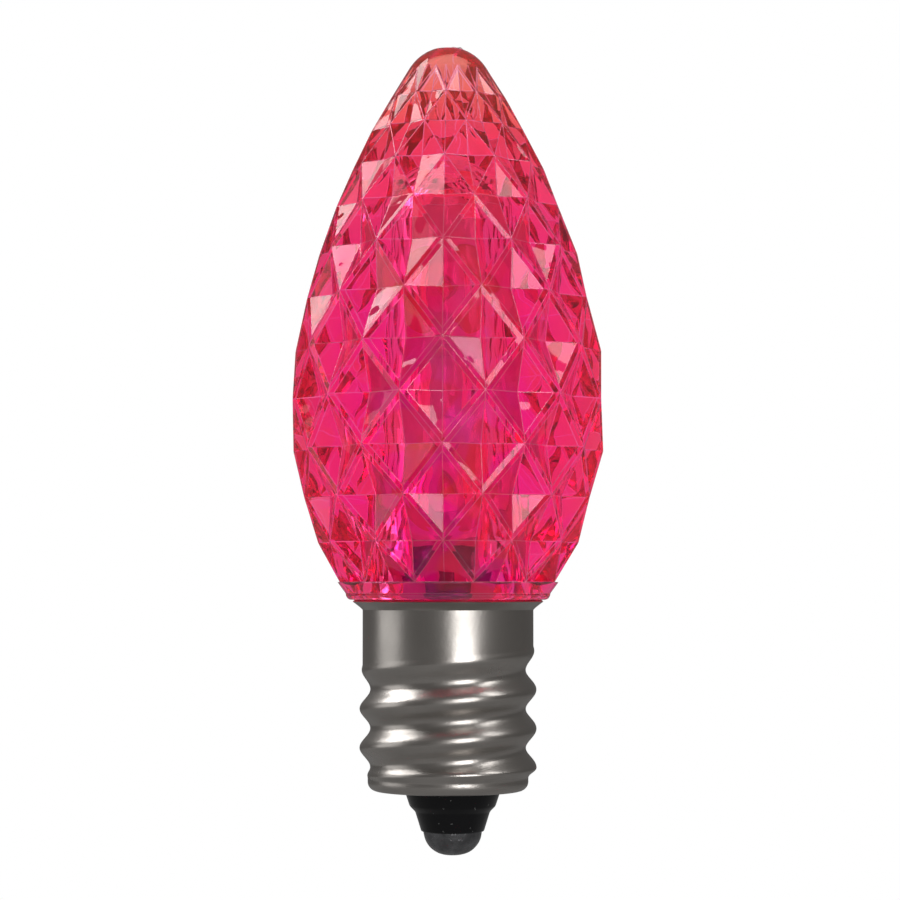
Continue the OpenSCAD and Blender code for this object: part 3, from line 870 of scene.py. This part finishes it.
class BULB_OT_screw_shell(BulbOperator, bpy.types.Operator):
    """Make the rolled screw shell with its flared lip"""

    bl_idname = "bulb.screw_shell"
    bl_label = "Screw shell"

    def execute(self, context):
        mesh = shell_mesh(context.scene.bulb_shell)
        finished_object(
            "screw_shell_rolled", mesh, shell_nickel(self.colours), ["screw_shell"]
        )
        return {"FINISHED"}


class BULB_OT_contact(BulbOperator, bpy.types.Operator):
    """Make the insulator and the solder dome below it"""

    bl_idname = "bulb.contact"
    bl_label = "Insulator and contact"

    def execute(self, context):
        sizes = context.scene.bulb_contact
        middle_x = (NOSE_LOW.x + NOSE_HIGH.x) / 2
        foot_z, end_z = SHELL_LOW.z, SHELL_LOW.z - sizes.cone_length
        step_z = foot_z - sizes.cone_length * sizes.step_share
        sheet = context.scene.bulb_shell.sheet
        flange = (NOSE_HIGH.x - NOSE_LOW.x) / 2
        profile = [
            (sizes.tube_radius, end_z), (sizes.cone_end, end_z),
            (sizes.waist_radius, step_z - (sizes.step_radius - sizes.waist_radius)),
            (sizes.step_radius, step_z), (sizes.cone_top, foot_z),
            (sizes.cone_top, foot_z + sheet), (flange, foot_z + sheet),
            (flange, NOSE_HIGH.z), (sizes.tube_radius, NOSE_HIGH.z),
        ]
        mesh = turned_mesh("insulator_moulded", profile, 96, middle_x)
        point_outwards(mesh)
        nose = bpy.data.objects.new("insulator_moulded", mesh)
        context.scene.collection.objects.link(nose)
        bevel = nose.modifiers.new("edges", "BEVEL")
        bevel.width = sizes.edge_round
        bevel.segments = 3
        bevel.angle_limit = radians(14)
        mesh = applied(nose)
        smooth_below(mesh, 24)
        mesh.materials.append(insulator_black(self.colours))
        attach(nose, BODY)
        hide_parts("insulator")
        self.make_dome(sizes, middle_x, end_z)
        return {"FINISHED"}

    def make_dome(self, sizes, middle_x, end_z):
        """Solder dome, a little uneven, with a hollow where the eyelet's rim lies."""
        radius, height = sizes.cone_end - sizes.dome_inset, end_z - CONTACT_LOW.z
        rim, rim_depth, steps = 1.42 * MM, 0.24 * MM, 28

        def dent(point):
            uneven = 0.5 + 0.5 * noise.noise(point * 900)
            near_rim = min(1.0, (end_z - point.z) / (0.3 * MM))
            return 0.07 * MM * uneven * near_rim

        profile = [(0, CONTACT_LOW.z)]
        for i in range(1, steps + 1):
            turn = pi / 2 * (1 - i / steps)
            profile.append((radius * cos(turn) ** sizes.dome_power, end_z - height * sin(turn)))
        profile += [(rim, end_z), (rim, end_z - rim_depth), (0, end_z - rim_depth)]
        mesh = turned_mesh("contact_dome", profile, 96, middle_x, dent)
        point_outwards(mesh)
        smooth_below(mesh, 50)
        finished_object(
            "contact_dome", mesh, contact_metal(self.colours), ["contact_solder"]
        )


class BULB_OT_inner_parts(BulbOperator, bpy.types.Operator):
    """Give the board, its components and the base's filling their finishes"""

    bl_idname = "bulb.inner_parts"
    bl_label = "Inner parts"

    def execute(self, context):
        colours = self.colours
        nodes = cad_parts
        pale = tuple(0.9 * c for c in colours.board)
        black = plain_finish("package_black", (0.03, 0.03, 0.033), (0.05, 0.05, 0.05), 2500, 0.4)
        copper = plain_finish("lead_tinned", (0.6, 0.42, 0.32), (0.7, 0.55, 0.45), 3000, 0.3,
                              Metallic=1.0)
        drop = plain_finish("solder_drop", (0.55, 0.55, 0.56), (0.42, 0.42, 0.43), 2500, 0.3,
                            Metallic=1.0)
        cement = plain_finish("cement", (0.6, 0.55, 0.42), (0.5, 0.45, 0.34), 1800, 0.7)
        resin = plain_finish("filling", (0.05, 0.05, 0.055), (0.08, 0.08, 0.08), 900, 0.45)
        brass = plain_finish("eyelet_brass", (0.7, 0.52, 0.22), (0.6, 0.43, 0.18), 2000, 0.3,
                             Metallic=1.0)
        finishes = {
            "circuit_board": plain_finish("board_mask", colours.board, pale, 1400, 0.35),
            "neck_cement": cement, "base_filling": resin, "contact_eyelet": brass,
            "bridge_rectifier": black, "resistor_lower": black, "resistor_upper": black,
            "shell_lead": copper, "centre_lead": copper,
            "shell_solder": drop, "board_solder": drop,
        }
        for name in ("led_front_lower", "led_front_upper", "led_back_lower", "led_back_upper"):
            finishes[name] = package_plastic(colours, *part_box(name))
        for name, material in finishes.items():
            mesh = nodes[name].data
            mesh.materials.clear()
            mesh.materials.append(material)
        return {"FINISHED"}


class BULB_OT_stage(BulbOperator, bpy.types.Operator):
    """Make the camera, the floor, the white surroundings and the lamps"""

    bl_idname = "bulb.stage"
    bl_label = "Stage"

    def execute(self, context):
        stage = context.scene.bulb_stage
        self.make_camera(context, stage)
        self.make_floor(context, stage)
        self.make_world(context)
        self.make_lamps(context)
        return {"FINISHED"}

    def make_camera(self, context, stage):
        data = bpy.data.cameras.new("front_camera")
        data.sensor_width = 36
        data.lens = data.sensor_width / 2 / tan(stage.view / 2)
        data.clip_start, data.clip_end = 0.01, 10
        camera = bpy.data.objects.new("front_camera", data)
        context.scene.collection.objects.link(camera)
        away = Vector((0, -cos(stage.rise), -sin(stage.rise)))
        camera.location = Vector((stage.aim_right, 0, stage.aim_height)) + away * stage.distance
        camera.rotation_mode = "QUATERNION"
        camera.rotation_quaternion = (-away).to_track_quat("-Z", "Y")
        context.scene.camera = camera

    def make_floor(self, context, stage):
        profile = [(0, -stage.floor_drop), (stage.floor_radius, -stage.floor_drop)]
        mesh = turned_mesh("floor", profile, 96)
        floor = bpy.data.objects.new("floor", mesh)
        context.scene.collection.objects.link(floor)
        finish = Finish("floor_white", **{"Base Color": (0.3, 0.3, 0.3, 1), "Roughness": 1.0})
        finish.shader.inputs["Specular IOR Level"].default_value = 0
        glow = finish.add("ShaderNodeEmission", {"Color": (1, 1, 1, 1), "Strength": 1.0})
        seen = self.seen_rays(finish.tree)
        share = finish.add("ShaderNodeMath", {0: seen, 1: FLOOR_GLOW}, operation="MULTIPLY")
        mixed = finish.add("ShaderNodeMixShader", {
            0: share.outputs[0], 1: finish.shader.outputs[0], 2: glow.outputs[0],
        })
        finish.link(mixed.outputs[0], finish.output.inputs["Surface"])
        mesh.materials.append(finish.material)

    def seen_rays(self, tree, clear=None):
        """How white the stage is: to the camera, through clear plastic, and a little in gloss."""
        path = tree.nodes.new("ShaderNodeLightPath")
        gloss, first, second = (tree.nodes.new("ShaderNodeMath") for _ in range(3))
        gloss.operation, first.operation, second.operation = "MULTIPLY", "MAXIMUM", "MAXIMUM"
        gloss.inputs[1].default_value = GLOSS_SHARE
        link = tree.links.new
        link(path.outputs["Is Glossy Ray"], gloss.inputs[0])
        link(path.outputs["Is Camera Ray"], first.inputs[0])
        link(clear or path.outputs["Is Transmission Ray"], first.inputs[1])
        link(first.outputs[0], second.inputs[0])
        link(gloss.outputs[0], second.inputs[1])
        return second.outputs[0]

    def make_world(self, context):
        """White to the camera and behind the lens. Metal and gloss see a dim room around."""
        world = bpy.data.worlds.new("studio")
        context.scene.world = world
        world.use_nodes = True
        tree = world.node_tree
        tree.nodes.clear()
        add, link = tree.nodes.new, tree.links.new
        path, way, split = (
            add("ShaderNodeLightPath"), add("ShaderNodeTexCoord"), add("ShaderNodeSeparateXYZ")
        )
        link(way.outputs["Generated"], split.inputs[0])
        behind, clear = add("ShaderNodeMapRange"), add("ShaderNodeMath")
        for name, value in zip(("From Min", "From Max", "To Min"), (-0.3, 0.75, 0.8)):
            behind.inputs[name].default_value = value
        clear.operation = "MULTIPLY"
        link(split.outputs["Y"], behind.inputs["Value"])
        link(behind.outputs[0], clear.inputs[0])
        link(path.outputs["Is Transmission Ray"], clear.inputs[1])
        room, white = add("ShaderNodeBackground"), add("ShaderNodeBackground")
        room.inputs["Color"].default_value = (0.033, 0.03, 0.028, 1)
        white.inputs["Color"].default_value = (1, 1, 1, 1)
        mixed, output = add("ShaderNodeMixShader"), add("ShaderNodeOutputWorld")
        link(self.seen_rays(tree, clear.outputs[0]), mixed.inputs[0])
        link(room.outputs[0], mixed.inputs[1])
        link(white.outputs[0], mixed.inputs[2])
        link(mixed.outputs[0], output.inputs[0])

    def make_lamps(self, context):
        """Softboxes, each with its place, its size and its radiance"""
        # Name, turn from the front to the right, rise, distance, width, height, radiance
        softboxes = (
            ("key_softbox", 22, 12, 0.6, 0.28, 0.5, 4.5),
            ("left_softbox", -86, 8, 0.6, 0.4, 0.4, 0.9),
            ("high_left_softbox", -104, 46, 0.6, 0.3, 0.3, 5.0),
            ("high_right_softbox", 72, 46, 0.6, 0.12, 0.28, 4.0),
        )
        for name, turn, rise, distance, width, height, radiance in softboxes:
            data = bpy.data.lights.new(name, "AREA")
            data.shape = "RECTANGLE"
            data.size, data.size_y = width, height
            data.energy = radiance * pi * width * height
            lamp = bpy.data.objects.new(name, data)
            context.scene.collection.objects.link(lamp)
            turn, rise = radians(turn), radians(rise)
            way = Vector((sin(turn) * cos(rise), -cos(turn) * cos(rise), sin(rise)))
            lamp.location = way * distance + Vector((0, 0, 12 * MM))
            lamp.rotation_mode = "QUATERNION"
            lamp.rotation_quaternion = way.to_track_quat("Z", "Y")
            lamp.visible_camera = False


class BULB_PT_panel(bpy.types.Panel):
    """Lists the pieces of the bulb"""

    bl_idname = "BULB_PT_panel"
    bl_label = "Faceted LED bulb"
    bl_space_type = "VIEW_3D"
    bl_region_type = "UI"
    bl_category = "Bulb"

    def draw(self, context):
        for operator in OPERATORS:
            self.layout.operator(operator.bl_idname)
        for name in GROUPS:
            group = getattr(context.scene, name)
            box = self.layout.box()
            for key in group.__annotations__:
                box.prop(group, key)


OPERATORS = (
    BULB_OT_lens, BULB_OT_screw_shell, BULB_OT_contact, BULB_OT_inner_parts, BULB_OT_stage,
)
GROUPS = {
    "bulb_lens": LensSizes, "bulb_shell": ShellSizes, "bulb_contact": ContactSizes,
    "bulb_colours": FinishColours, "bulb_stage": StageSettings,
}


def register():
    for group in GROUPS.values():
        bpy.utils.register_class(group)
    for name, group in GROUPS.items():
        setattr(bpy.types.Scene, name, bpy.props.PointerProperty(type=group))
    for part in (*OPERATORS, BULB_PT_panel):
        bpy.utils.register_class(part)


def unregister():
    for part in (*OPERATORS, BULB_PT_panel):
        bpy.utils.unregister_class(part)
    for name in GROUPS:
        delattr(bpy.types.Scene, name)
    for group in GROUPS.values():
        bpy.utils.unregister_class(group)


def main():
    register()
    bpy.context.scene.view_settings.view_transform = "Standard"
    bpy.ops.bulb.lens()
    bpy.ops.bulb.screw_shell()
    bpy.ops.bulb.contact()
    bpy.ops.bulb.inner_parts()
    bpy.ops.bulb.stage()


if __name__ == "__main__":
    main()
